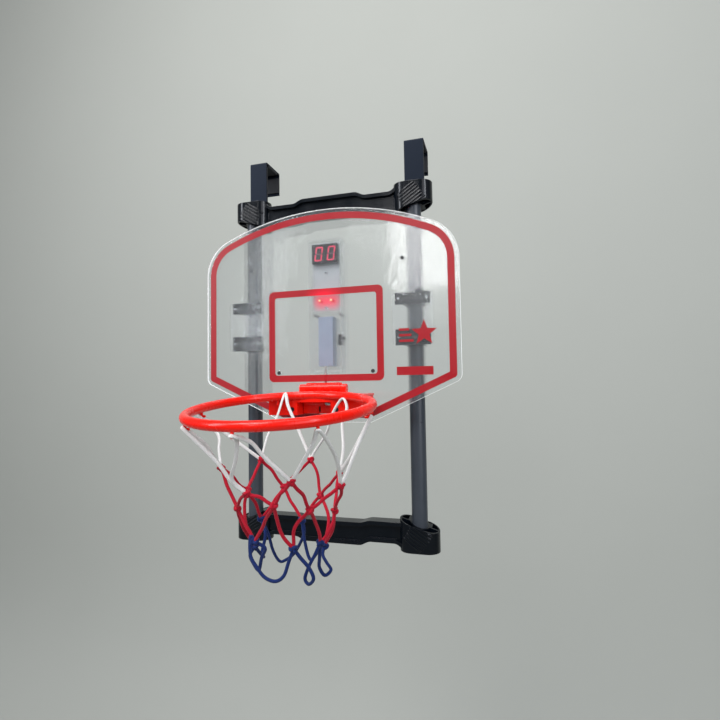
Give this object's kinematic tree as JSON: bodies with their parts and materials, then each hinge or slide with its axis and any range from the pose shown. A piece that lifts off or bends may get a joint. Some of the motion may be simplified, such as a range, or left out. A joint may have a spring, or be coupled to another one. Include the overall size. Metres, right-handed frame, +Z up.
{
  "type": "over-door basketball hoop",
  "caption": "Mini basketball hoop that hangs over a door, with a clear board, a battery scorer with a two-digit display, a folding rim and a knotted cord net.",
  "frame": {"origin": "midway between the two hooks, where the door's top edge meets its front face", "axes": "+X along the door to the right as seen from the front, +Y into the door, +Z up"},
  "size_m": [0.4, 0.3573, 0.6165],
  "materials": {
    "black_steel": "satin",
    "black_foam": "matte",
    "screw_steel": "satin",
    "black_screws": "satin",
    "black_plastic": "satin moulded",
    "grey_tube": "semi-gloss",
    "clear_board": "polished",
    "clear_case": "moulded",
    "red_ink": "printed",
    "grey_plastic": "moulded",
    "cell_wrap": "satin",
    "contact_steel": "plated",
    "white_board": "satin",
    "display_black": "glossy",
    "lit_red": "lit",
    "red_lamp": "lit",
    "rim_plastic": "glossy moulded",
    "white_cord": "braided",
    "red_cord": "braided",
    "blue_cord": "braided"
  },
  "bodies": {
    "frame": {"hook_left": "black_steel", "hook_right": "black_steel", "hook_pads": "black_foam", "hook_screws": "black_screws", "tube_screws": "black_screws", "upper_crossbar": "black_plastic", "lower_crossbar": "black_plastic", "tube_upper_left": "grey_tube", "tube_upper_right": "grey_tube", "tube_lower_left": "grey_tube", "tube_lower_right": "grey_tube"},
    "board": {"backboard": "clear_board", "border_print": "red_ink", "target_print": "red_ink", "emblem_print": "red_ink", "board_rivets": "black_plastic", "plate_left": "clear_case", "plate_right": "clear_case", "clip_lower_left": "black_plastic", "clip_lower_right": "black_plastic", "clip_upper_left": "black_plastic", "clip_upper_right": "black_plastic", "clip_screws": "screw_steel", "scorer_case": "clear_case", "scorer_cover": "clear_case", "battery_door": "clear_case", "battery_door_screws": "black_screws", "battery_tray": "grey_plastic", "battery_cells": "cell_wrap", "battery_contacts": "contact_steel", "buzzer": "black_plastic", "circuit_board": "white_board", "circuit_board_screws": "screw_steel", "display_case": "display_black", "display_digits": "lit_red", "status_lamps": "red_lamp", "power_switch_body": "black_plastic", "sensor_switch": "black_plastic", "sensor_lead": "white_board", "rim_mount": "rim_plastic", "rim_mount_screws": "screw_steel", "rim_pin": "screw_steel"},
    "rim": {"rim": "rim_plastic", "rim_back_plate": "rim_plastic", "rim_box_screws": "black_screws", "paddle_pin": "screw_steel", "net_white": "white_cord", "net_red": "red_cord", "net_blue": "blue_cord", "paddle_spring": "screw_steel"},
    "paddle": {"score_paddle": "rim_plastic"},
    "power_knob": {"power_switch_knob": "black_plastic"}
  },
  "joints": [
    {"name": "board_height", "type": "slide", "parent": "frame", "child": "board", "axis": [0, 0, 1], "range_m": [-0.12, 0.03]},
    {"name": "rim_fold", "type": "hinge", "parent": "board", "child": "rim", "pos_m": [0, -0.0565, -0.3745], "axis": [-1, 0, 0], "range_deg": [0, 88]},
    {"name": "paddle_press", "type": "hinge", "parent": "rim", "child": "paddle", "pos_m": [0, -0.072, -0.3964], "axis": [1, 0, 0], "range_deg": [0, 12], "stiffness_Nm_per_rad": 0.02, "springref_deg": -8.59},
    {"name": "power_slide", "type": "slide", "parent": "board", "child": "power_knob", "axis": [0, 0, -1], "range_m": [0, 0.004]}
  ]
}
